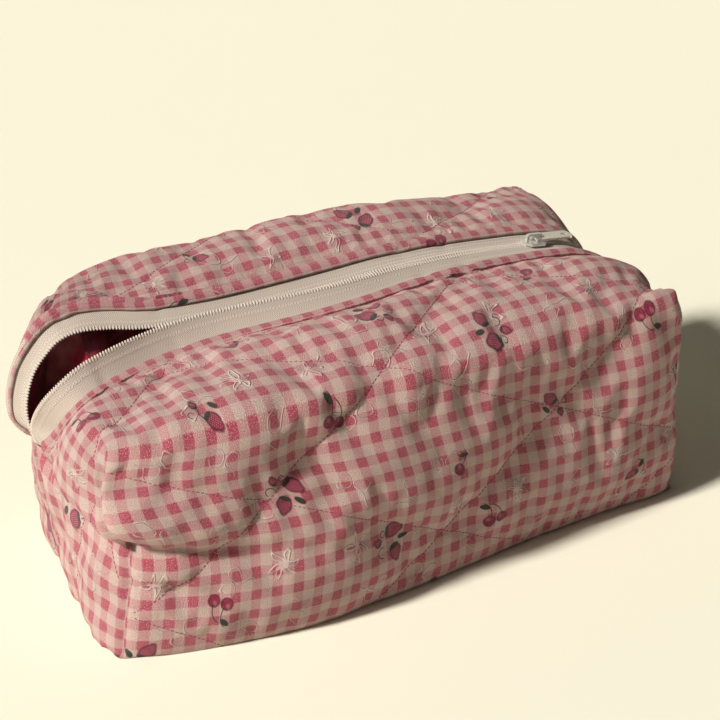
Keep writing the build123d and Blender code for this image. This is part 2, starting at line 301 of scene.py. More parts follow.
    def smooth(self, rounds, where=None):
        """Rounds the folds: each loose point moves to the mean of its neighbours, again and again."""
        q = self.quads
        ends = np.concatenate([q[:, [0, 1]], q[:, [1, 2]], q[:, [2, 3]], q[:, [3, 0]]])
        ends = np.unique(np.sort(ends, axis=1), axis=0)
        a = np.concatenate([ends[:, 0], ends[:, 1]])
        b = np.concatenate([ends[:, 1], ends[:, 0]])
        count = np.maximum(np.bincount(a, minlength=len(self.points)), 1)
        loose = ~self.fixed() if where is None else where & ~self.fixed()
        for _ in range(rounds):
            sums = [np.bincount(a, self.points[b, k], len(self.points)) for k in range(3)]
            mean = np.stack([total / count for total in sums], 1)
            self.points[loose] = self.points[loose] * 0.5 + mean[loose] * 0.5

    def normals(self):
        """Outward direction at each point, summed from the faces round it."""
        corner = self.points[self.quads]
        face = np.cross(corner[:, 2] - corner[:, 0], corner[:, 3] - corner[:, 1])
        total = np.zeros_like(self.points)
        for k in range(4):
            for axis in range(3):
                total[:, axis] += np.bincount(self.quads[:, k], face[:, axis], len(self.points))
        return unit(total)

    def at(self, length, width, lift=0.0):
        """Places on the finished cloth, by cloth length and width, along with the outward direction there."""
        w = self.widths
        n = self.flap_count
        spot = np.zeros((len(length), 3))
        out = np.zeros((len(length), 3))
        normals = self.normals()
        for name, ids in self.index.items():
            low, high = w[name][0], w[name][-1]
            here = (width >= low) & (width <= high if name == "base" else width < high)
            if not here.any():
                continue
            columns = self.length[n:-n] if name == "face" else self.length
            fu = np.interp(length[here], columns, np.arange(len(columns)))
            fv = np.interp(width[here], w[name], np.arange(len(w[name])))
            iu = np.clip(fu.astype(int), 0, len(columns) - 2)
            iv = np.clip(fv.astype(int), 0, len(w[name]) - 2)
            tu, tv = (fu - iu)[:, None], (fv - iv)[:, None]
            mix = lambda f: (f[ids[iu, iv]] * (1 - tu) * (1 - tv) + f[ids[iu + 1, iv]] * tu * (1 - tv)
                             + f[ids[iu, iv + 1]] * (1 - tu) * tv + f[ids[iu + 1, iv + 1]] * tu * tv)
            spot[here], out[here] = mix(self.points), unit(mix(normals))
        return spot + out * lift, out


# ---------------------------------------------------------------- quilting

# Two families of stitch lines: a point on one line and the steps to the next crossings,
# in checks along and across the cloth.
QUILT_POINT = (14.0, 5.4)
QUILT_RISE = (6.9, -4.7)
QUILT_FALL = (9.1, 4.1)


def quilt_frame():
    """For each family: unit direction along its lines, unit direction across, spacing, and a point."""
    rise, fall = np.array(QUILT_RISE) * CHECK, np.array(QUILT_FALL) * CHECK
    start = np.array(QUILT_POINT) * CHECK - [HALF, 0]
    area = abs(rise[0] * fall[1] - rise[1] * fall[0])
    made = []
    for step in (rise, fall):
        along = step / np.linalg.norm(step)
        across = np.array([-along[1], along[0]])
        made.append((along, across, area / np.linalg.norm(step), start))
    return made


def from_line(cloth, family):
    """Distance from the nearest line of a family, the place along it, and that line's number."""
    along, across, spacing, start = family
    offset = (cloth - start) @ across
    number = np.round(offset / spacing)
    return np.abs(offset - number * spacing), (cloth - start) @ along, number


def puff(distance, width):
    """How far wadding swells at a distance from a line of stitches: quickly, then level."""
    return 1 - np.exp(-((np.maximum(distance, 0) / width) ** 1.3))


def seam_distance(panel):
    """Cloth distance from each point to the nearest sewn edge, and to the nearest end seam.

    Sewn edges are the corner seams, reached across the face or across a flap, and the end seams.
    """
    u, v = panel.place[:, 0], panel.place[:, 1]
    corner_top, corner_base = panel.widths["top"][-1], panel.widths["face"][-1]
    on_face = (v > corner_top) & (v < corner_base)
    from_corner = np.where(on_face, HALF - np.abs(u), 99)
    beside = np.minimum(np.abs(v - corner_top), np.abs(v - corner_base))
    from_corner = np.minimum(from_corner, np.where(np.abs(u) > HALF, beside, 99))
    return np.maximum(np.minimum(from_corner, HALF + FLAP - np.abs(u)), 0), HALF + FLAP - np.abs(u)


def quilted_height(panel):
    """Height of the padded cloth over its base form: pillows, puckers across the lines, and soft waves."""
    cloth = panel.place
    u, v = cloth[:, 0], cloth[:, 1]
    seam, end = seam_distance(panel)
    clear = puff(v - TOPSTITCH, 5)
    shoulder = hill(np.abs(u), HALF, 22) * hill(v, panel.widths["top"][-1], 22)
    pillow = 6.0 * puff(v - TOPSTITCH, 9) * np.maximum(puff(seam, 8), 0.85 * shoulder)
    detail = np.zeros(len(u))
    for number, family in enumerate(quilt_frame()):
        distance, along, line = from_line(cloth, family)
        across = (cloth - family[3]) @ family[1]
        shade = 37.1 * line + 11.3 * number
        hold = 0.42 if number == 0 else 0.2
        pillow *= 1 - hold * (1 - puff(distance, 15))
        pucker = noise(along / 6.5 + shade, distance / 28, 20 + number)
        broad = noise(along / 15 + shade, distance / 40, 24 + number)
        detail += (1.1 * pucker + 1.3 * broad) * np.exp(-distance / 14) * clear * puff(seam, 5)
        detail -= 0.7 * hill(distance, 0, 1.2)
        if number == 0:
            beyond = across - line * family[2]
            near_zip = np.exp(-np.maximum(v - TOPSTITCH, 0) / 38) * clear
            detail -= 2.4 * np.sign(beyond) * np.exp(-distance / 13) * puff(distance, 2.5) * near_zip
    detail += 1.0 * noise(u / 26, v / 20, 5) * clear
    detail += 0.45 * noise(u / 9 + v / 30, v / 10, 6) * clear
    gather = np.exp(-np.maximum(v - TOPSTITCH, 0) / 12) * (v > TOPSTITCH)
    detail += 0.9 * gather * noise(u / 5.5, v / 30, 8)
    detail += np.where(u > 0, 0.3, 1.9) * noise(v / 5 + u / 60, seam / 20, 9) * np.exp(-seam / 10)
    floor_edge = panel.widths["face"][-1]
    detail *= puff(end, 2) * (1 - 0.85 * hill(v, floor_edge, 16))
    pillow *= 1 - 0.35 * hill(v, floor_edge, 12)
    welt = (v < TOPSTITCH) * 0.8 * np.sin(np.pi * np.clip(v / TOPSTITCH, 0, 1))
    groove = -1.1 * hill(v, TOPSTITCH, 0.8)
    right_end = hill(u, 133, 24) * (v < 46)
    fullness = 1.0 if panel.side < 0 else 0.7
    to_middle_seam = np.where((np.abs(u) > HALF) & (v > floor_edge), panel.widths["base"][-1] - v, 99)
    swell = fullness * (pillow * (1 - 0.75 * right_end) + detail) - 1.2 * hill(seam, 0, 1.5)
    return swell * puff(to_middle_seam, 3) + welt + groove


def folds(panel):
    """The larger creases of the slumped cloth, as moves along the outward direction."""
    u, v = panel.place[:, 0], panel.place[:, 1]
    face_top = panel.widths["top"][-1]
    down = v - face_top
    lift = np.zeros(len(u))
    if panel.side < 0:
        near_left = np.exp(-np.maximum(u + HALF, 0) / 48) * (np.abs(u) <= HALF + 0.1)
        crease = 46 + 0.16 * (u + HALF)
        lift -= 8.0 * near_left * hill(down, crease, 4.5)
        lift += 7.5 * near_left * hill(down, crease - 14, 10)
        to_end = HALF + FLAP + u
        lift += 4.5 * (u < -HALF) * (v < face_top) * hill(to_end, 9, 7)
        lift -= 2.5 * near_left * hill(down, crease + 17, 4)
        lift += 2.0 * near_left * hill(down, crease + 10, 6)
        lift -= 3.0 * hill(u, 133, 13) * hill(v, 33, 11)
    return lift


SIM_SCALE = 10.0          # the cloth settles ten times larger than life, where the solver is steady


def settle(panel, frames=14, growth=0.022, cap=3.5):
    """Lets the cloth settle by simulation: held at its stitches, seams, hem and base, it is a little too
    large for the space between them, so it swells and puckers. No point moves more than cap."""
    u, v = panel.place[:, 0], panel.place[:, 1]
    seam, end = seam_distance(panel)
    held = panel.fixed() | (seam < 1.0) | (v < TOPSTITCH + 1.0) | (np.abs(v - panel.widths["face"][-1]) < 3)
    for family in quilt_frame():
        held |= (from_line(panel.place, family)[0] < 0.9) & (v > TOPSTITCH)
    blank = bpy.data.materials.new("settling")
    body = mesh_piece("settling_cloth", panel.points * SIM_SCALE, panel.quads, blank)
    pins = body.vertex_groups.new(name="sewn")
    pins.add(np.flatnonzero(held).tolist(), 1.0, "REPLACE")
    cloth = body.modifiers.new("cloth", "CLOTH")
    rules = cloth.settings
    rules.quality, rules.mass, rules.air_damping = 5, 0.3, 2.0
    rules.tension_stiffness = rules.compression_stiffness = 15.0
    rules.shear_stiffness, rules.bending_stiffness = 6.0, 4.0
    rules.shrink_min = -growth
    rules.use_pressure, rules.uniform_pressure_force = True, 0.6
    rules.vertex_group_mass = "sewn"
    rules.effector_weights.gravity = 0.0
    cloth.collision_settings.use_collision = False
    cloth.collision_settings.use_self_collision = False
    cloth.point_cache.frame_end = frames
    for frame_number in range(1, frames + 1):
        bpy.context.scene.frame_set(frame_number)
    settled = body.evaluated_get(bpy.context.evaluated_depsgraph_get())
    points = np.empty(len(panel.points) * 3)
    settled.data.vertices.foreach_get("co", points)
    move = points.reshape(-1, 3) / (SIM_SCALE * MM) - panel.points
    distance = np.linalg.norm(move, axis=1, keepdims=True)
    panel.points += move * (cap * np.tanh(distance / cap) / np.maximum(distance, 1e-6))
    bpy.data.objects.remove(body)
    bpy.context.scene.frame_set(1)


def raise_cloth(panel):
    """Raises the padded cloth from its base form, lets it settle, and rounds its corners.

    The floor strip is laid flat at height 0, and no point stays below it.
    """
    out = panel.normals()
    panel.points += out * (quilted_height(panel) + folds(panel))[:, None]
    settle(panel)
    panel.smooth(1)
    top_corner = np.hypot(np.abs(panel.place[:, 0]) - HALF, panel.place[:, 1] - panel.widths["top"][-1])
    panel.smooth(10 if panel.side < 0 else 2, top_corner < 8)
    n = panel.flap_count
    flat = panel.index["base"][n:-n, 4:]
    panel.points[flat, 2] = 0.0
    panel.points[:, 2] = np.maximum(panel.points[:, 2], 0.0)


# ---------------------------------------------------------------- meshes

def mesh_piece(name, points, faces, material, smooth=True, maps=()):
    """A piece from points in millimetres and faces, with named per-corner maps."""
    mesh = bpy.data.meshes.new(name)
    points = np.asarray(points, float) * MM
    faces = np.asarray(faces)
    mesh.vertices.add(len(points))
    mesh.vertices.foreach_set("co", points.ravel())
    mesh.loops.add(faces.size)
    mesh.loops.foreach_set("vertex_index", faces.ravel())
    mesh.polygons.add(len(faces))
    mesh.polygons.foreach_set("loop_start", np.arange(0, faces.size, faces.shape[1]))
    mesh.update(calc_edges=True)
    for map_name, values in maps:
        layer = mesh.uv_layers.new(name=map_name)
        layer.data.foreach_set("uv", np.asarray(values, float).ravel())
    mesh.polygons.foreach_set("use_smooth", np.full(len(faces), smooth))
    mesh.materials.append(material)
    piece = bpy.data.objects.new(name, mesh)
    bpy.context.collection.objects.link(piece)
    return piece


def grid_faces(rows, columns, first=0, closed=False):
    """Quads of a grid of rows by columns points; closed joins the last column to the first."""
    ids = first + np.arange(rows * columns).reshape(rows, columns)
    if closed:
        ids = np.concatenate([ids, ids[:, :1]], 1)
    return np.stack([ids[:-1, :-1], ids[1:, :-1], ids[1:, 1:], ids[:-1, 1:]], 2).reshape(-1, 4)


def hem_rows(panel):
    """The fold beside the tape: a half round under the edge, then back beneath the panel."""
    edge = panel.points[panel.index["top"][:, 0]]
    out = panel.normals()[panel.index["top"][:, 0]]
    inner = panel.points[panel.index["top"][:, 3]]
    along = unit(np.gradient(edge, axis=0))
    across = edge - inner
    across = unit(across - along * (across * along).sum(1)[:, None])
    angle = np.linspace(0, np.pi, 9)[1:]
    turn = [edge + across * HEM * np.sin(a) - out * HEM * (1 - np.cos(a)) for a in angle]
    under = [turn[-1] - across * step for step in (2.0, 4.5)]
    rows = np.stack([edge] + turn + under, 1)
    widths = -np.concatenate([[0], HEM * angle, [HEM * np.pi + 2.0, HEM * np.pi + 4.5]])
    return rows, widths


def panel_piece(panel, name, material):
    """The quilted cloth with its hem, as one mesh whose map is the flat cloth in millimetres."""
    rows, widths = hem_rows(panel)
    count = len(panel.points)
    hem_faces = grid_faces(rows.shape[0], rows.shape[1], count)
    if panel.side > 0:
        hem_faces = hem_faces[:, ::-1]
    points = np.concatenate([panel.points, rows.reshape(-1, 3)])
    faces = np.concatenate([panel.quads, hem_faces])
    grid_u, grid_v = np.meshgrid(panel.length, widths, indexing="ij")
    hem_cloth = np.stack([grid_u, grid_v], 2).reshape(-1, 2)
    corners = np.concatenate([panel.cloth[panel.quads_cloth], hem_cloth[hem_faces - count]])
    places, turns = print_places(panel, corners.mean(1))
    local = motif_map(corners, places, turns, 0.86)
    thread_places, thread_turns = embroidery_places(panel, corners.mean(1))
    thread = motif_map(corners, thread_places, thread_turns, 0.9)
    kinds = places[:, 2]
    thread_kinds = thread_places[:, 2]
    maps = [("cloth", corners), ("motif", local), ("thread", thread)]
    piece = mesh_piece(name, points, faces, material, maps=maps)
    for label, values in (("motif_kind", kinds), ("thread_kind", thread_kinds)):
        attribute = piece.data.attributes.new(label, "FLOAT", "FACE")
        attribute.data.foreach_set("value", values.astype(float))
    return thicken(piece, 0.5)


# ---------------------------------------------------------------- the print

# The printed fruit, in checks: rows PRINT_STEP[1] apart with a motif every PRINT_STEP[0], odd rows moved on
# by half a step. Kinds: 0 cherry pair, 1 single cherry, 2 strawberry pair and a bud, 3 single strawberry,
# 4 strawberry and bud.
PRINT_STEP = (8.0, 4.0)
PRINT_COLUMNS, PRINT_ROWS = 4, 6
PRINT_KINDS = (0, 3, 2, 1, 4, 0, 2)
PRINT_TURN = 77.0         # degrees from one motif to the next
PRINT_STRAY = (1.0, 0.8)  # how far a motif lies off its row and column
PRINT_REPEAT = (PRINT_COLUMNS * PRINT_STEP[0], PRINT_ROWS * PRINT_STEP[1])


def print_layout():
    """One repeat of the print: staggered rows, each motif off its place by a sine of its number,
    with kinds and turns taken in order. Columns: along, across, kind, turn."""
    number = np.arange(PRINT_COLUMNS * PRINT_ROWS)
    row, column = number // PRINT_COLUMNS, number % PRINT_COLUMNS
    along = (column + 0.5 * (row % 2)) * PRINT_STEP[0] + PRINT_STRAY[0] * np.sin(2.1 * number)
    across = (row + 0.5) * PRINT_STEP[1] + PRINT_STRAY[1] * np.cos(3.7 * number)
    kinds = np.array(PRINT_KINDS)[number % len(PRINT_KINDS)]
    return np.stack([along, across, kinds, number * PRINT_TURN % 360], 1)


# Embroidered star flowers and curls: (checks along, checks across, kind, turn); kind 0 star, 1 curl.
EMBROIDERY = [
    (1.6, 1.4, 1, 30), (4.2, 2.6, 1, 100), (6.4, 1.6, 1, 200), (1.2, 4.4, 0, 10), (4.6, 4.8, 1, 310),
    (7.2, 4.2, 0, 40), (2.6, 7.0, 1, 150), (5.4, 7.2, 1, 20), (8.0, 6.8, 1, 260),
]
EMBROIDERY_REPEAT = (9.6, 8.8)


def nearest_place(middles, table, repeat, offset):
    """For each face, the nearest motif of a repeating table: its place and kind, and its turn."""
    table = np.asarray(table, float)
    repeat = np.asarray(repeat) * CHECK
    spots = table[:, :2] * CHECK - offset
    best = np.full(len(middles), 1e9)
    found = np.zeros((len(middles), 3))
    turns = np.zeros(len(middles))
    for spot, kind, turn in zip(spots, table[:, 2], np.radians(table[:, 3])):
        tile = np.round((middles - spot) / repeat)
        place = spot + tile * repeat
        distance = np.linalg.norm(middles - place, axis=1)
        nearer = distance < best
        best[nearer] = distance[nearer]
        found[nearer, :2], found[nearer, 2] = place[nearer], kind
        turns[nearer] = turn
    return found, turns


# How far the back panel's patterns are moved from the front's, because it is cut from another place.
BACK_PRINT_SHIFT = (-90.0, 60.0)
BACK_EMBROIDERY_SHIFT = (31.0, 24.0)


def pattern_offset(panel, back_shift):
    """From the cloth's middle to its pattern's first place."""
    return np.array([HALF, 0.0]) + (0.0 if panel.side < 0 else np.array(back_shift))


def print_places(panel, middles):
    """For each face, the printed motif nearest to it."""
    offset = pattern_offset(panel, BACK_PRINT_SHIFT)
    return nearest_place(middles, print_layout(), PRINT_REPEAT, offset)


def embroidery_places(panel, middles):
    """For each face, the embroidered motif nearest to it."""
    offset = pattern_offset(panel, BACK_EMBROIDERY_SHIFT)
    return nearest_place(middles, EMBROIDERY, EMBROIDERY_REPEAT, offset)


def motif_map(corners, places, turns, scale=1.0):
    """Corner places relative to their face's motif, turned with it."""
    d = corners - places[:, None, :2]
    c, s = np.cos(turns)[:, None], np.sin(turns)[:, None]
    return np.stack([d[..., 0] * c + d[..., 1] * s, d[..., 1] * c - d[..., 0] * s], 2) / scale


# ---------------------------------------------------------------- shader formulas

class Field:
    """A shader value, so that a pattern is written as a formula."""

    def __init__(self, tree, socket):
        self.tree, self.socket = tree, socket

    def math(self, kind, *others, clamp=False):
        node = self.tree.nodes.new("ShaderNodeMath")
        node.operation, node.use_clamp = kind, clamp
        for port, value in zip(node.inputs, (self,) + others):
            if isinstance(value, Field):
                self.tree.links.new(value.socket, port)
            else:
                port.default_value = float(value)
        return Field(self.tree, node.outputs[0])

    def __add__(self, other):
        return self.math("ADD", other)

    def __sub__(self, other):
        return self.math("SUBTRACT", other)

    def __mul__(self, other):
        return self.math("MULTIPLY", other)

    def __truediv__(self, other):
        return self.math("DIVIDE", other)

    def __rsub__(self, other):
        return (self * -1.0) + other

    __radd__, __rmul__ = __add__, __mul__

    def abs(self):
        return self.math("ABSOLUTE")

    def sin(self):
        return self.math("SINE")

    def min(self, other):
        return self.math("MINIMUM", other)

    def max(self, other):
        return self.math("MAXIMUM", other)

    def clip(self):
        return self.math("ADD", 0.0, clamp=True)

    def power(self, other):
        return self.math("POWER", other)


class Shade:
    """A material being made: its node tree, its shader and the helpers that feed it."""

    def __init__(self, name, **settings):
        self.material = bpy.data.materials.new(name)
        self.material.use_nodes = True
        self.tree = self.material.node_tree
        self.shader = self.tree.nodes["Principled BSDF"]
        for port, value in settings.items():
            self.shader.inputs[port.replace("_", " ")].default_value = value

    def node(self, kind, **values):
        made = self.tree.nodes.new(kind)
        for key, value in values.items():
            setattr(made, key, value)
        return made

    def map(self, name):
        """The two coordinates of a named map."""
        source = self.node("ShaderNodeUVMap", uv_map=name)
        split = self.node("ShaderNodeSeparateXYZ")
        self.tree.links.new(source.outputs[0], split.inputs[0])
        return Field(self.tree, split.outputs[0]), Field(self.tree, split.outputs[1])

    def value(self, name):
        source = self.node("ShaderNodeAttribute", attribute_name=name)
        return Field(self.tree, source.outputs["Fac"])

    def grain(self, scale, detail=2.0):
        """Noise about 0.5, scale being repeats in a metre of the object."""
        place = self.node("ShaderNodeTexCoord")
        made = self.node("ShaderNodeTexNoise")
        made.inputs["Scale"].default_value = scale
        made.inputs["Detail"].default_value = detail
        made.inputs["Roughness"].default_value = 0.6
        self.tree.links.new(place.outputs["Object"], made.inputs["Vector"])
        return Field(self.tree, made.outputs["Fac"])

    def noise_at(self, x, y, scale, detail=2.0):
        """Noise about 0.5 on two given coordinates."""
        join = self.node("ShaderNodeCombineXYZ")
        self.tree.links.new(x.socket, join.inputs[0])
        self.tree.links.new(y.socket, join.inputs[1])
        made = self.node("ShaderNodeTexNoise", noise_dimensions="2D")
        made.inputs["Scale"].default_value = scale
        made.inputs["Detail"].default_value = detail
        self.tree.links.new(join.outputs[0], made.inputs["Vector"])
        return Field(self.tree, made.outputs["Fac"])

    def blend(self, low, high, share):
        """Colour between two colours, each a triple or a colour socket."""
        mix = self.node("ShaderNodeMix", data_type="RGBA")
        if isinstance(share, Field):
            self.tree.links.new(share.socket, mix.inputs["Factor"])
        else:
            mix.inputs["Factor"].default_value = share
        for port, colour in (("A", low), ("B", high)):
            target = [i for i in mix.inputs if i.name == port and i.type == "RGBA"][0]
            if isinstance(colour, tuple):
                target.default_value = colour + (1.0,)
            else:
                self.tree.links.new(colour, target)
        return [o for o in mix.outputs if o.type == "RGBA"][0]

    def colour(self, socket):
        """Sets the base colour."""
        self.tree.links.new(socket, self.shader.inputs["Base Color"])

    def feed(self, port, field):
        """Drives one input of the shader by a field."""
        self.tree.links.new(field.socket, self.shader.inputs[port])

    def bump(self, height, distance, strength=1.0):
        """Bumps from a height field; distance is the height of 1, in metres."""
        made = self.node("ShaderNodeBump")
        made.inputs["Strength"].default_value = strength
        made.inputs["Distance"].default_value = distance
        self.tree.links.new(height.socket, made.inputs["Height"])
        self.tree.links.new(made.outputs[0], self.shader.inputs["Normal"])


def inside(distance, soft):
    """1 where distance is below 0, with an edge soft wide."""
    return (distance * (-1.0 / soft) + 0.5).clip()


def oval(x, y, cx, cy, rx, ry, turn=0.0):
    """Distance-like value of an oval: below 0 inside, in the oval's shorter radii."""
    c, s = float(np.cos(np.radians(turn))), float(np.sin(np.radians(turn)))
    px, py = x - cx, y - cy
    a = (px * c + py * s) / rx
    b = (py * c - px * s) / ry
    return ((a * a + b * b).power(0.5) - 1.0) * min(rx, ry)


def ring(x, y, cx, cy, radius, width):
    """Distance past a circle's line: below 0 within width of it."""
    px, py = x - cx, y - cy
    return ((px * px + py * py).power(0.5) - radius).abs() - width


def union(masks):
    """The sum of the masks, held between 0 and 1."""
    return sum(masks[1:], masks[0]).clip()


def printed_motifs(shade):
    """Masks for the five motifs: fruit, its dark rim, its light spots, leaves, and stalk lines."""
    x, y = shade.map("motif")
    kind = shade.value("motif_kind")
    fruit, rim, spots, green, line = [], [], [], [], []

    def only(number):
        """1 on the places that hold this kind of motif."""
        return inside((kind - float(number)).abs() - 0.3, 0.2)

    def leaf(choice, cx, cy, rx, ry, turn):
        """A green oval."""
        green.append(inside(oval(x, y, cx, cy, rx, ry, turn), 0.35) * choice)

    def cherry(choice, cx, cy, size):
        """A round fruit with a dark rim, and a light spot up and to the left of its middle."""
        body = oval(x, y, cx, cy, size, size * 0.92)
        fruit.append(inside(body, 0.35) * choice)
        rim.append(inside(body.abs() - 0.35, 0.5) * choice)
        shine = oval(x, y, cx - size * 0.3, cy - size * 0.3, size * 0.42, size * 0.3, 40)
        spots.append(inside(shine, 0.8) * choice * 0.6)

    def berry(choice, cx, cy, size, turn):
        """A strawberry: two ovals joined, light seeds, and a leaf across its wide end."""
        aside, down = size * np.cos(np.radians(turn)), size * np.sin(np.radians(turn))
        wide = oval(x, y, cx, cy, size, size * 0.86, turn)
        tip = oval(x, y, cx + aside * 0.55, cy + down * 0.55, size * 0.75, size * 0.5, turn)
        body = wide.min(tip)
        fruit.append(inside(body, 0.35) * choice)
        rim.append(inside(body.abs() - 0.35, 0.5) * choice)
        seeds = ((x + y) * 4.2).sin() * ((x - y) * 4.2).sin()
        spots.append(inside(0.45 - seeds, 0.3) * inside(body + 0.5, 0.4) * choice)
        leaf(choice, cx - aside * 0.8, cy - down * 0.8, size * 0.32, size * 0.72, turn)

    def arc(choice, cx, cy, radius, low, high, half=0, width=0.22):
        """Part of a ring between two heights, and its right or left half where half is 1 or -1."""
        band = inside(ring(x, y, cx, cy, radius, width), 0.3)
        if half:
            band = band * inside((cx - x) * float(half), 0.3)
        line.append(band * inside(low - y, 0.3) * inside(y - high, 0.3) * choice)

    pair, single, berries, one, twig = only(0), only(1), only(2), only(3), only(4)
    cherry(pair, -3.0, 3.8, 2.9)
    cherry(pair, 3.4, 3.0, 2.7)
    arc(pair, -9.8, 0.2, 7.6, -6.8, 2.0, 1)
    arc(pair, -4.6, 2.0, 7.8, -5.6, 1.2, 1)
    leaf(pair, -5.8, -4.6, 2.9, 1.3, 20)
    cherry(single, 1.0, 3.4, 2.9)
    arc(single, -7.0, 0.0, 7.6, -6.4, 1.6, 1)
    leaf(single, -1.8, -3.6, 2.6, 1.2, -50)
    berry(berries, -5.6, 4.6, 3.8, 150)
    berry(berries, 4.8, 0.8, 4.0, 75)
    berry(berries, -0.6, -7.2, 2.2, -70)
    arc(berries, 1.6, 2.6, 6.6, -7.4, 1.6, 1)
    arc(berries, -5.4, -3.4, 2.4, -9.0, -2.6)
    arc(berries, 3.4, -5.4, 1.5, -9.0, -4.6)
    leaf(berries, 1.4, 7.6, 2.6, 1.4, 70)
    berry(one, 0.6, 3.2, 3.2, 80)
    arc(one, -1.8, 1.2, 5.4, -7.0, -1.6)
    arc(one, 3.2, -3.4, 1.3, -9.0, -2.8)
    leaf(one, -3.4, -2.8, 2.3, 1.2, 50)
    berry(twig, 0.0, 4.6, 3.4, 100)
    berry(twig, 3.4, -4.8, 1.9, -40)
    arc(twig, 4.8, 2.6, 6.2, -3.8, 2.6, -1)
    arc(twig, -2.6, -4.2, 1.4, -9.0, -3.4)
    leaf(twig, 6.0, 3.4, 2.5, 1.2, 100)
    return [union(masks) for masks in (fruit, rim, spots, green, line)]


def embroidered(shade):
    """Raised white thread: star flowers of six narrow loops, and curls with tails."""
    x, y = shade.map("thread")
    u, v = shade.map("cloth")
    x = x + (shade.noise_at(u, v, 0.11, 1.0) - 0.5) * 7.0
    y = y + (shade.noise_at(v, u, 0.11, 1.0) - 0.5) * 7.0
    kind = shade.value("thread_kind")
    star = inside(kind - 0.3, 0.2)
    curl = inside(0.7 - kind, 0.2)
    loops = []
    for petal in range(6):
        turn = 60.0 * petal + 10
        middle = (3.3 * np.cos(np.radians(turn)), 3.3 * np.sin(np.radians(turn)))
        loops.append(inside(oval(x, y, middle[0], middle[1], 2.6, 0.75, turn).abs() - 0.2, 0.3) * star)
    loops.append(inside(ring(x, y, -3.9, 0.6, 3.7, 0.22), 0.3) * inside(-7.0 - x, 0.4) * curl)
    loops.append(inside(ring(x, y, 4.2, -0.8, 3.2, 0.22), 0.3) * inside(y - 2.0, 0.4) * curl)
    tail = inside(ring(x, y, -1.6, 10.6, 9.2, 0.22), 0.3) * inside(y - 7.5, 0.4)
    loops.append(tail * inside(1.4 - x, 0.4) * curl)
    return union(loops)


def printed_cotton():
    """Woven gingham in pink and cream, printed fruit, raised white thread and a fine weave."""
    shade = Shade("printed_cotton", Roughness=0.85, Sheen_Weight=0.25, Sheen_Roughness=0.5,
                  Specular_IOR_Level=0.25)
    u, v = shade.map("cloth")
    wobble = (shade.noise_at(u, v, 0.12) - 0.5) * 0.5
    stripe = lambda along: ((((along + wobble) * (2 * np.pi / CHECK)).sin()) * 3.0 + 0.3).clip()
    pink = (stripe(u) + stripe(v)) * 0.5
    warp = shade.noise_at(u * 3.0, v * 0.6, 1.6, 3.0)
    weft = shade.noise_at(u * 0.6, v * 3.0, 1.6, 3.0)
    yarn = (warp + weft - 1.0) * 0.5
    cream, half, rose = (0.70, 0.505, 0.45), (0.63, 0.30, 0.305), (0.49, 0.034, 0.095)
    half_share = (pink * 2.0 + yarn * 1.6).clip()
    rose_share = (pink * 2.0 - 1.0 + yarn * 1.4 * (pink * 2.0 - 1.0).clip()).clip()
    fleck = (shade.noise_at(u * 2.2, v * 2.2, 1.2, 2.0) - 0.5) * 0.5 + 0.5
    colour = shade.blend(shade.blend(cream, half, half_share), rose, rose_share)
    colour = shade.blend(colour, (0.25, 0.15, 0.13), (fleck - 0.51).clip() * 4.2)
    colour = shade.blend(colour, (0.85, 0.76, 0.68), (0.485 - fleck).clip() * 5.0)
    white = embroidered(shade)
    fruit, rim, spots, green, line = printed_motifs(shade)
    colour = shade.blend(colour, (0.86, 0.74, 0.67), white * 0.6)
    tone = shade.noise_at(u, v, 0.45, 2.0)
    red = shade.blend((0.20, 0.004, 0.030), (0.40, 0.022, 0.085), (tone * 2.4 - 0.7).clip())
    colour = shade.blend(colour, red, fruit)
    colour = shade.blend(colour, (0.10, 0.003, 0.016), rim * 0.75)
    colour = shade.blend(colour, (0.70, 0.28, 0.33), spots * 0.7)
    colour = shade.blend(colour, (0.026, 0.030, 0.018), green)
    colour = shade.blend(colour, (0.012, 0.010, 0.014), line)
    shade.colour(colour)
    weave = ((u * (2 * np.pi / 0.7)).sin() * (v * (2 * np.pi / 0.7)).sin()) * 0.5
    height = weave * 0.5 + yarn * 2.6 + fleck * 2.6 + white * 2.2
    shade.bump(height, 0.00042, 0.9)
    return shade.material


def woven_tape():
    """Herringbone tape: slanting ribs that turn at every rib width, and a row of coil stitches."""
    shade = Shade("woven_tape", Roughness=0.7, Sheen_Weight=0.2, Sheen_Roughness=0.4, Specular_IOR_Level=0.3)
    along, across = shade.map("tape")
    zigzag = ((across / 1.1).math("PINGPONG", 1.0)) * 0.9
    ribs = ((along + zigzag) * (2 * np.pi / 0.75)).sin()
    stitch = inside((across - 2.9).abs() - 0.5, 0.2) * inside(0.1 - (along * (2 * np.pi / 1.3)).sin(), 0.3)
    cloth = shade.blend((0.38, 0.315, 0.27), (0.72, 0.62, 0.545), (ribs * 0.5 + 0.5).clip())
    cloth = shade.blend(cloth, (0.66, 0.58, 0.51), stitch)
    dirt = (shade.grain(90.0, 3.0) - 0.5) * 0.3
    cloth = shade.blend(cloth, (0.50, 0.43, 0.36), dirt.clip())
    shade.colour(cloth)
    shade.bump(ribs * 0.5 + stitch * 1.4 + shade.grain(900.0) * 0.4, 0.00018, 0.8)
    return shade.material


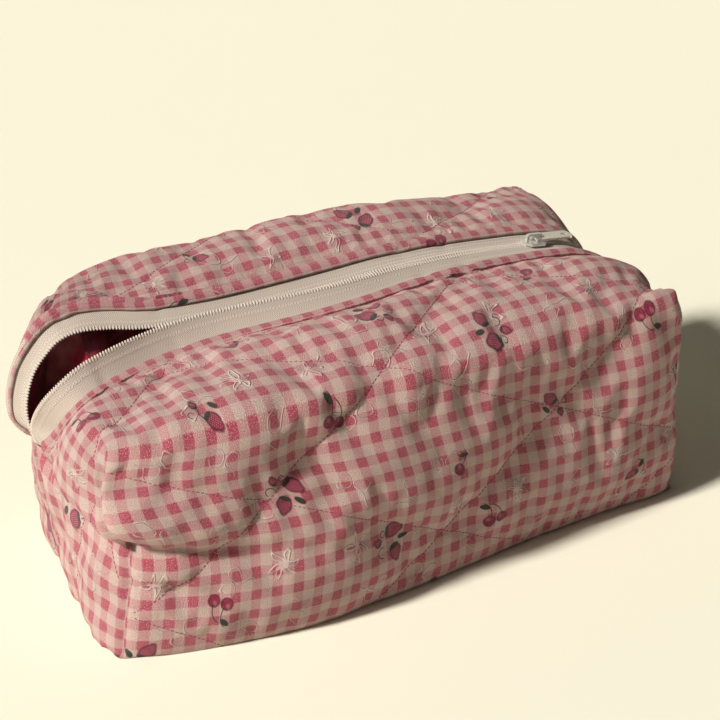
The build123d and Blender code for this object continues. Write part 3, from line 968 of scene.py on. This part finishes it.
def glossy_lining():
    """Crimson satin: close threads one way, soft creases, a bright sheen, and pale pink patches of painted
    sheen in its colour.
    """
    shade = Shade("glossy_lining", Roughness=0.32, Sheen_Weight=0.3, Sheen_Roughness=0.3,
                  Specular_IOR_Level=0.6)
    u, v = shade.map("cloth")
    # This noise turns the crimson pale pink in patches as painted sheen (highlights put into the colour), and
    # it also varies the roughness.
    painted_sheen_patches = shade.grain(28.0, 3.0)
    shade.colour(shade.blend((0.42, 0.028, 0.060), (0.80, 0.34, 0.36), (painted_sheen_patches * 4.0 - 2.0).clip()))
    threads = (u * (2 * np.pi / 0.5)).sin()
    shade.feed("Roughness", painted_sheen_patches * 0.22 + 0.2)
    shade.bump(threads * 0.06 + shade.grain(70.0, 4.0) * 3.0, 0.0006, 0.8)
    return shade.material


def thread_material():
    """Dark pink sewing thread with a fine grain."""
    shade = Shade("pink_thread", Roughness=0.6, Sheen_Weight=0.3, Sheen_Roughness=0.4)
    shade.colour(shade.blend((0.30, 0.035, 0.075), (0.45, 0.075, 0.13), shade.grain(2500.0)))
    shade.bump(shade.grain(4000.0), 0.0001)
    return shade.material


def nylon_coil():
    """Cream nylon: smooth, a little see-through, its colour slightly uneven."""
    shade = Shade("nylon_coil", Roughness=0.38, Specular_IOR_Level=0.5, Subsurface_Weight=0.1,
                  Subsurface_Scale=0.001)
    shade.colour(shade.blend((0.52, 0.45, 0.39), (0.68, 0.61, 0.54), shade.grain(600.0)))
    shade.bump(shade.grain(1800.0), 0.00005)
    return shade.material


def plated_metal():
    """Bright plated metal: the same grain moves its colour and its roughness, as light wear."""
    shade = Shade("plated_metal", Metallic=0.75, Roughness=0.25)
    wear = shade.grain(350.0, 4.0)
    shade.colour(shade.blend((0.80, 0.79, 0.78), (0.94, 0.93, 0.92), wear))
    shade.feed("Roughness", wear * 0.25 + 0.12)
    shade.bump(shade.grain(1200.0), 0.00003)
    return shade.material


def binding_cloth():
    """Dark red binding cloth with a fine grain."""
    shade = Shade("binding_cloth", Roughness=0.6, Sheen_Weight=0.3, Sheen_Roughness=0.4)
    shade.colour(shade.blend((0.16, 0.012, 0.03), (0.26, 0.03, 0.055), shade.grain(900.0)))
    shade.bump(shade.grain(2200.0), 0.0001)
    return shade.material


# ---------------------------------------------------------------- zip, stitches and lining

def tape_piece(panel, coil, name, material):
    """A ribbon from the coil to below the folded edge, dipping a little between."""
    at = panel.length
    along, out, across = side_of_tape(coil, at, panel.side)
    edge = through(coil, at)
    hem = panel.points[panel.index["top"][:, 0]] - panel.normals()[panel.index["top"][:, 0]] * 2 * HEM
    wide = hem - edge
    steps = np.concatenate([np.linspace(-0.02, 1, 12), [1.25, 1.5]])
    rows = edge[:, None] + wide[:, None] * steps[None, :, None]
    dip = np.sin(np.pi * np.clip(steps, 0, 1)) * -0.5 - np.maximum(steps - 0.85, 0) * 0.4
    rows = rows + out[:, None] * dip[None, :, None]
    faces = grid_faces(*rows.shape[:2])
    if panel.side > 0:
        faces = faces[:, ::-1]
    run = np.concatenate([[0], np.cumsum(np.linalg.norm(np.diff(edge, axis=0), axis=1))])
    grid_a, grid_b = np.meshgrid(run, steps * 8.5, indexing="ij")
    cloth = np.stack([grid_a, grid_b], 2).reshape(-1, 2)
    faces = faces[:, ::-1]
    piece = mesh_piece(name, rows.reshape(-1, 3), faces, material, maps=[("tape", cloth[faces])])
    return thicken(piece, 0.5)


def thicken(piece, thickness):
    """Gives a sheet its thickness, inwards from its outer side."""
    wall = piece.modifiers.new("thickness", "SOLIDIFY")
    wall.thickness = thickness * MM
    wall.offset = -1.0
    return piece


def beads(name, centres, axis, other, size, material):
    """Many small rounded bars: a six-sided barrel about each centre, its ends drawn in."""
    third = unit(np.cross(axis, other))
    other = unit(np.cross(third, axis))
    turns = np.arange(6) * np.pi / 3
    rings = [(-1.0, 0.45), (-0.7, 1.0), (0.7, 1.0), (1.0, 0.45)]
    shape = []
    for along, wide in rings:
        circle = (other[:, None] * np.cos(turns)[None, :, None] * size[1]
                  + third[:, None] * np.sin(turns)[None, :, None] * size[2])
        shape.append(centres[:, None] + axis[:, None] * (along * size[0]) + circle * wide)
    points = np.stack(shape, 1)
    count, ring_count, sides = points.shape[:3]
    one = grid_faces(ring_count, sides, closed=True)
    offsets = (np.arange(count) * ring_count * sides)[:, None, None]
    faces = (one[None] + offsets).reshape(-1, 4)
    caps = np.array([[0, 1, 2, 3], [3, 4, 5, 0]])
    last = (ring_count - 1) * sides
    low = (caps[None] + offsets).reshape(-1, 4)
    high = (caps[None, :, ::-1] + last + offsets).reshape(-1, 4)
    faces = np.concatenate([faces[:, ::-1], low[:, ::-1], high[:, ::-1]])
    return mesh_piece(name, points.reshape(-1, 3), faces, material)


def coil_piece(coil, side, name, material):
    """The coil's loops: one bead for each turn, across the tape's edge and just past it."""
    fine = np.linspace(-HALF - FLAP, HALF + FLAP, 3000)
    path = through(coil, fine)
    run = np.concatenate([[0], np.cumsum(np.linalg.norm(np.diff(path, axis=0), axis=1))])
    at = np.interp(np.arange(1.0, run[-1] - 1.0, 1.3), run, fine)
    along, out, across = side_of_tape(coil, at, side)
    centres = through(coil, at) + across * 0.35 - out * 0.35
    return beads(name, centres, across, along, (1.1, 0.42, 0.6), material)


def stitched_line(panel, length, width, pitch=1.9, lift=0.05):
    """Running stitches along a path given in cloth length and width."""
    spot, out = panel.at(length, width)
    run = np.concatenate([[0], np.cumsum(np.linalg.norm(np.diff(spot, axis=0), axis=1))])
    at = np.arange(pitch, run[-1] - pitch, pitch)
    pick = lambda values: np.stack([np.interp(at, run, values[:, k]) for k in range(3)], 1)
    tangent = unit(pick(np.gradient(spot, axis=0)))
    normal = unit(pick(out))
    return pick(spot) + normal * lift, tangent, normal


def topstitch_piece(panel, name, material):
    """Running stitches at one cloth width, along the folded edge."""
    length = np.linspace(-HALF - FLAP + 6, HALF + FLAP - 6, 900)
    centres, axis, normal = stitched_line(panel, length, np.full(900, TOPSTITCH), 2.5)
    return beads(name, centres, axis, normal, (1.0, 0.24, 0.24), material)


def quilting_piece(panel, name, material):
    """Dashes of thread along both families of quilting lines, inside the cloth's outline."""
    centres, axes, normals = [], [], []
    cloth_width = panel.widths["base"][-1]
    travel = np.arange(-420, 420, 1.0)
    for along, across, spacing, start in quilt_frame():
        for number in range(-8, 9):
            spots = start + across * spacing * number + along * travel[:, None]
            u, v = spots[:, 0], spots[:, 1]
            top, base = panel.widths["top"][-1], panel.widths["face"][-1]
            on_flap = (np.abs(u) < HALF + FLAP - 3) & ((v < top - 3) | (v > base + 3))
            keep = (v > TOPSTITCH + 2) & (v < cloth_width - 3) & ((np.abs(u) < HALF - 2) | on_flap)
            breaks = np.flatnonzero(np.diff(keep.astype(int))) + 1
            for piece in np.split(np.arange(len(u)), breaks):
                if keep[piece[0]] and len(piece) > 12:
                    c, a, n = stitched_line(panel, u[piece], v[piece])
                    centres.append(c)
                    axes.append(a)
                    normals.append(n)
    centres, axes, normals = np.concatenate(centres), np.concatenate(axes), np.concatenate(normals)
    centres[:, 2] = np.maximum(centres[:, 2], 0.25 + 0.65 * np.abs(axes[:, 2]))
    return beads(name, centres, axes, normals, (0.62, 0.2, 0.2), material)


def lining_piece(panel, smooth_points, name, material):
    """The lining: the smooth base form drawn inwards and loosely creased, seen from inside."""
    saved = panel.points
    panel.points = smooth_points
    out = panel.normals()
    u, v = panel.place[:, 0], panel.place[:, 1]
    slack = 1.5 * noise(u / 13 + v / 40, v / 17, 31) + 0.8 * noise(u / 6, v / 8, 32)
    depth = 4.6 + (slack + 1.0) * np.clip((v - 4) / 20, 0, 1)
    if panel.side > 0:
        loose = hill(u, -116, 34) * hill(v, 56, 18)
        depth += loose * (21 + 6 * noise(u / 11 + v / 30, v / 12, 33) + 2.5 * noise(u / 5, v / 6, 34))
    points = smooth_points - out * depth[:, None]
    points[:, 2] = np.minimum(points[:, 2], 113 - 1.15 * depth)
    panel.points = saved
    points[:, 2] = np.maximum(points[:, 2], 3.6)
    sewn = panel.cloth[panel.quads_cloth][:, :, 1].min(1) > TOPSTITCH - 1
    faces, cloth = panel.quads[sewn][:, ::-1], panel.cloth[panel.quads_cloth[sewn][:, ::-1]]
    piece = mesh_piece(name, points, faces, material, maps=[("cloth", cloth)])
    return thicken(piece, 0.3)


# Sizes of a bound seam: how far inside its seam line it starts, its width, the rise of its rounded
# edge, half its thickness, and its lowest point.
BINDING_SET_IN, BINDING_WIDTH, BINDING_NOSE = 5.5, 7.0, 0.8
BINDING_HALF, BINDING_FLOOR = 1.1, 1.5


def binding_strip(line, inward):
    """A bound seam: a narrow closed band that stands inwards from a seam line."""
    along = unit(np.gradient(line, axis=0))
    inward = unit(inward - along * (inward * along).sum(1)[:, None])
    flat = unit(np.cross(along, inward))
    width = BINDING_WIDTH
    outline = [(0, -1), (width, -1), (width + BINDING_NOSE, 0), (width, 1), (0, 1)]
    rows = np.stack([line + inward * a + flat * b * BINDING_HALF for a, b in outline], 1)
    return rows.reshape(-1, 3), grid_faces(len(line), len(outline), closed=True)


def seam_bindings(panels, material):
    """Bindings along the four corner seams, the end seams and the base seam, inside the lining."""
    points, faces, start = [], [], 0
    lines = []
    for panel in panels:
        n = panel.flap_count
        for column in (0, -1):
            lines.append(panel.base_form[panel.index["face"][column]])
            lines.append(panel.base_form[panel.index["base"][column]][:-1])
        if panel.side < 0:
            lines.append(panel.base_form[panel.index["base"][:, -1]])
    for line in lines:
        x, y, z = line.T
        middle_y, middle_z = 7, 50
        to_x = -np.sign(x) * np.minimum(np.abs(x), 40)
        to_y = np.clip(middle_y - y, -40, 40)
        to_z = np.clip(middle_z - z, -25, 25)
        inward = unit(np.stack([to_x, to_y, to_z], 1))
        shape, quads = binding_strip(line + inward * BINDING_SET_IN, inward)
        shape[:, 2] = np.maximum(shape[:, 2], BINDING_FLOOR)
        points.append(shape)
        faces.append(quads + start)
        start += len(shape)
    return mesh_piece("seam_bindings", np.concatenate(points), np.concatenate(faces), material, smooth=False)


# ---------------------------------------------------------------- build

cotton, tape, satin = printed_cotton(), woven_tape(), glossy_lining()
thread, nylon, metal, binding = thread_material(), nylon_coil(), plated_metal(), binding_cloth()

panels = {"front": Panel(-1), "back": Panel(1)}
made = []
for label, panel in panels.items():
    panel.smooth(14)
    panel.base_form = panel.points.copy()
    raise_cloth(panel)
    coil = FRONT_COIL if panel.side < 0 else BACK_COIL
    body = panel_piece(panel, label + "_quilted_panel", cotton)
    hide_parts(label + "_cover", label + "_wadding")
    lining = lining_piece(panel, panel.base_form, label + "_satin_lining", satin)
    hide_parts(label + "_lining")
    ribbon = tape_piece(panel, coil, label + "_woven_tape", tape)
    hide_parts(label + "_zip_tape")
    loops = coil_piece(coil, panel.side, label + "_coil_loops", nylon)
    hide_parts(label + "_coil")
    topstitch = topstitch_piece(panel, label + "_topstitch_thread", thread)
    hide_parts(label + "_topstitch")
    quilting = quilting_piece(panel, label + "_quilting_thread", thread)
    made += [body, lining, ribbon, loops, topstitch, quilting]
bound = seam_bindings(panels.values(), binding)
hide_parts("base_binding", "end_binding_left", "end_binding_right", "corner_binding_front_left",
            "corner_binding_front_right", "corner_binding_back_left", "corner_binding_back_right")
made.append(bound)
for piece in made:
    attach(piece, "bag")

for name in ("slider_body", "pull_tab"):
    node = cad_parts[name]
    for slot in node.material_slots:
        slot.material = metal

# ---------------------------------------------------------------- floor, light and camera

def backdrop():
    """A pale floor that curves up into a wall behind the bag."""
    run = np.linspace(-2600, 2600, 60)
    turn = np.linspace(0, 1, 60)
    y = np.where(turn < 0.6, -2600 + turn / 0.6 * 4200, 1600 + 600 * np.sin((turn - 0.6) / 0.4 * np.pi / 2))
    z = np.where(turn < 0.6, 0, 2600 * (1 - np.cos((turn - 0.6) / 0.4 * np.pi / 2)))
    grid_x, grid_y = np.meshgrid(run, y, indexing="ij")
    points = np.stack([grid_x, grid_y, np.broadcast_to(z, grid_y.shape)], 2)
    shade = Shade("pale_floor", Roughness=0.9, Specular_IOR_Level=0.1)
    shade.colour(shade.blend((0.93, 0.91, 0.77), (0.95, 0.93, 0.79), shade.grain(2.0)))
    return mesh_piece("floor_sweep", points.reshape(-1, 3), grid_faces(60, 60), shade.material)


backdrop()


def area_light(name, place, target, size, power, colour):
    """A square lamp at place that faces target."""
    light = bpy.data.lights.new(name, "AREA")
    light.size, light.energy, light.color = size, power, colour
    lamp = bpy.data.objects.new(name, light)
    lamp.location = place
    lamp.rotation_euler = (Vector(target) - Vector(place)).to_track_quat("-Z", "Y").to_euler()
    bpy.context.collection.objects.link(lamp)


middle = (0.0, 0.0, 0.06)
area_light("window_light", (-0.75, -0.12, 0.60), middle, 0.3, 0.8, (1.0, 0.94, 0.86))

sun = bpy.data.lights.new("soft_sun", "SUN")
sun.energy, sun.angle, sun.color = 4.5, 0.13, (1.0, 0.955, 0.875)
sun_lamp = bpy.data.objects.new("soft_sun", sun)
sun_lamp.rotation_euler = Vector((0.79, 0.03, -0.62)).to_track_quat("-Z", "Y").to_euler()
bpy.context.collection.objects.link(sun_lamp)

world = bpy.data.worlds.new("room")
world.use_nodes = True
world.node_tree.nodes["Background"].inputs[0].default_value = (1.0, 0.965, 0.88, 1.0)
world.node_tree.nodes["Background"].inputs[1].default_value = 0.06
bpy.context.scene.world = world
bpy.context.scene.view_settings.view_transform = "Standard"

camera_data = bpy.data.cameras.new("camera")
camera_data.lens, camera_data.sensor_width = 130.0, 36.0
camera = bpy.data.objects.new("camera", camera_data)
# Where the camera stands, in metres, and how it is turned, in degrees.
CAMERA_PLACE = (-0.47626, -0.80999, 0.58758)
azimuth, elevation, roll = np.radians([-30.7, 28.71, 0.81])
back = Vector((np.sin(azimuth) * np.cos(elevation), -np.cos(azimuth) * np.cos(elevation), np.sin(elevation)))
turn = (-back).to_track_quat("-Z", "Y").to_matrix().to_4x4() @ Matrix.Rotation(roll, 4, "Z")
camera.matrix_world = Matrix.Translation(Vector(CAMERA_PLACE)) @ turn
bpy.context.collection.objects.link(camera)
bpy.context.scene.camera = camera
